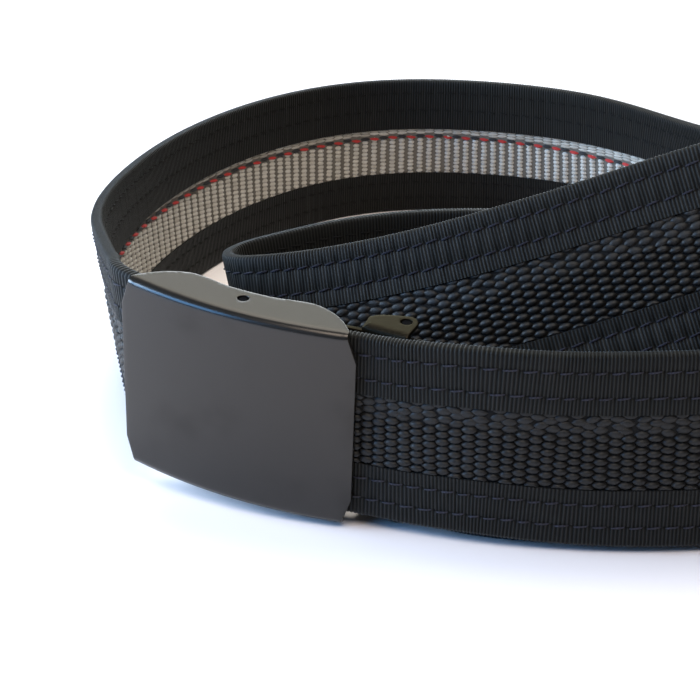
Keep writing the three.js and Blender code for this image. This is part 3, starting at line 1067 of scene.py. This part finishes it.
def makeCase(material):
    half, halfHeight = case["length"] / 2, case["height"] / 2
    bend, straight, flangeStart = bendChannel(case, casePlace, frontOfCase)
    midRadius = case["bend"] - case["sheet"] / 2
    cutFrom = halfHeight - case["cornerHeight"]
    # the end of the plate, up to where its flange begins
    straightPoints, cutPoints = case["endPoints"]
    plain = np.linspace(0, cutFrom, straightPoints)[:-1]
    across = np.concatenate([plain, np.linspace(cutFrom, flangeStart, cutPoints)])
    angle = np.clip((across - straight) / midRadius, 0, math.pi / 2)
    rise = np.minimum(across, straight) + midRadius * np.sin(angle)
    end = half - np.maximum(rise - cutFrom, 0) * case["cornerLength"] / case["cornerHeight"]
    side = np.stack([end, across], -1)
    lobe = smoothLine(case["flange"], case["flangeStep"])
    lobe[:, 1] = flangeStart + lobe[:, 1] - frontOfCase(lobe[:, 0]) - case["bend"]
    quarter = np.vstack([side, lobe[lobe[:, 1] > flangeStart + case["flangeClear"]]])
    mirrored = quarter[::-1][1:] * (-1, 1)
    upper = np.vstack([quarter, mirrored])
    lower = upper[::-1][1:-1] * (1, -1)
    outline = np.vstack([upper, lower])
    holeAcross = flangeStart + buckle["pinDepth"] - frontOfCase(0) - case["bend"]
    holes = [ringAt((0, s * holeAcross), case["holeRadius"], case["holeSides"]) for s in (1, -1)]
    piece = bentSheet("case_shell", case, outline, holes, bend, material)
    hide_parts("buckle_case")


def makeClip(material):
    bend, _, flangeStart = bendChannel(clip, clipPlace, lambda along: along * 0)
    length, points = clip["flange"][0][0], clip["endPoints"]
    end = np.stack([np.full(points, length), np.linspace(0, flangeStart, points)], -1)
    back = smoothLine(clip["flange"], clip["flangeStep"])
    back[:, 1] += flangeStart - clip["bend"]
    start = np.stack([np.zeros(points), np.linspace(flangeStart, 0, points)], -1)
    upper = np.vstack([end, back, start[1:]])
    outline = np.vstack([upper, upper[::-1][1:-1] * (1, -1)])
    along, depth = clip["hole"]
    across = flangeStart + depth - clip["bend"]
    holes = [ringAt((along, s * across), clip["holeRadius"], clip["holeSides"]) for s in (1, -1)]
    piece = bentSheet("clip_channel", clip, outline, holes, bend, material)
    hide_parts("clip_body")


def makeLink(material):
    radius, pinDepth = link["eyeRadius"], buckle["pinDepth"]
    end, front = buckle["clipStart"] + link["overlap"], buckle["clipDepth"]
    turn = np.radians(np.linspace(*link["eyeSpan"], link["eyeSides"]))
    eye = np.stack([radius * np.cos(turn), pinDepth + radius * np.sin(turn)], -1)
    tongue = [(end, front), (end, front + clip["sheet"]), (link["back"], pinDepth + radius)]
    outline = np.vstack([*tongue, eye])
    bore = ringAt((0, pinDepth), case["holeRadius"], case["holeSides"])

    def upright(flat, lift):
        heights = np.full(len(flat), lift + link["middle"])
        return np.column_stack([flat, heights]) @ caseTurn.T + casePlace

    piece = bentSheet("clip_link", link, outline, [bore], upright, material)
    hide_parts("clip_body")


def finishNode(node, material):
    node.data.materials.clear()
    node.data.materials.append(material)
    edges = node.modifiers.new("brokenEdges", "BEVEL")
    edges.width = clip["rim"] * mm
    edges.segments = 2
    edges.limit_method = "ANGLE"
    edges.angle_limit = math.radians(40)


# Floor, light and camera.

studio = {
    "floorSize": 6.0,
    "floorColour": (0.91, 0.86, 0.865, 1),
    "skyColour": (0.96, 1.0, 1.0, 1),
    "skyStrength": 0.09,
    "camera": (-32.0, -396.0, 168.5),
    "pitch": 23.3,
    "focalPixels": 1800,
    "picturePixels": 700,
}


def makeFloor():
    paint = Paint("table", studio["floorColour"][:3])
    look = {"Base Color": studio["floorColour"], "Roughness": 0.75, "Specular IOR Level": 0.2}
    half = studio["floorSize"] / 2
    corners = [(-half, -half, 0), (half, -half, 0), (half, half, 0), (-half, half, 0)]
    mesh = bpy.data.meshes.new("table")
    mesh.from_pydata(corners, [], [(0, 1, 2, 3)])
    mesh.materials.append(paint.surface(look))
    floor = bpy.data.objects.new("table", mesh)
    bpy.context.scene.collection.objects.link(floor)


def makeLight(name, size, place, target, power, colour):
    light = bpy.data.lights.new(name, "AREA")
    light.shape = "RECTANGLE"
    light.size, light.size_y = size
    light.energy = power
    light.color = colour
    lamp = bpy.data.objects.new(name, light)
    lamp.location = place
    lamp.rotation_euler = (Vector(target) - Vector(place)).to_track_quat("-Z", "Y").to_euler()
    bpy.context.scene.collection.objects.link(lamp)


# each light's size, place, target, power and colour, in metres and watts
lights = {
    "overhead": ((0.9, 0.7), (0.1, 0.3, 1.05), (0, 0, 0), 7.6, (1.0, 0.97, 0.88)),
    "backHigh": ((0.9, 0.4), (0.1, 0.9, 0.95), (0, 0, 0.02), 2.4, (1.0, 1.0, 0.87)),
    "backWindow": ((1.8, 0.35), (0.0, 1.35, 0.5), (0, 0, 0.02), 16, (0.9, 0.97, 1.0)),
    "leftFrontWindow": ((0.6, 0.4), (-0.9, -0.42, 0.4), (0, 0, 0.02), 7, (0.16, 0.47, 1.0)),
    "leftWindow": ((0.7, 0.4), (-1.0, 0.05, 0.4), (0, 0, 0.02), 20, (0.62, 0.8, 1.0)),
    "frontLamp": ((0.9, 0.5), (0.0, -0.75, 1.05), (0, 0, 0.02), 9.6, (1.0, 0.88, 0.76)),
}


def makeLights():
    world = bpy.data.worlds.new("studio")
    world.use_nodes = True
    background = world.node_tree.nodes["Background"]
    background.inputs["Color"].default_value = studio["skyColour"]
    background.inputs["Strength"].default_value = studio["skyStrength"]
    bpy.context.scene.world = world
    for name, light in lights.items():
        makeLight(name, *light)
    bpy.context.scene.view_settings.view_transform = "Standard"


def makeCamera():
    data = bpy.data.cameras.new("camera")
    data.sensor_width = 36
    data.lens = studio["focalPixels"] / studio["picturePixels"] * data.sensor_width
    data.clip_start = 0.01
    camera = bpy.data.objects.new("camera", data)
    camera.location = inMetres(np.array(studio["camera"]))
    camera.rotation_euler = (math.radians(90 - studio["pitch"]), 0, 0)
    bpy.context.scene.collection.objects.link(camera)
    bpy.context.scene.camera = camera


makeCamera()
makeFloor()
makeLights()
print("stage made")

tape = tapePaint()
makeBinding("lower_tape", "lower_binding", False, tape)
makeBinding("upper_tape", "upper_binding", True, tape)
print("bindings made")
makeStitching("outer_stitching", -1, threadPaint("sewingThread"))
makeStitching("inner_stitching", 1, threadPaint("bobbinThread"))
print("stitching made")
makeOuterWeave(blackWeavePaint())
makeInnerWeave(greyWeavePaint())
makeTracer(tracerPaint())
print("hose made")
makeCase(gunmetalPaint())
clipSteel = clipSteelPaint()
makeClip(clipSteel)
makeLink(clipSteel)
# near-black paint that stands in for the shade in the case's pin hole, also given to the clip's
# lever
shadeBlackMetal = pinPaint()
for name in ("clip_lever", "case_pin"):
    finishNode(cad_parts[name], shadeBlackMetal)
print("buckle made")
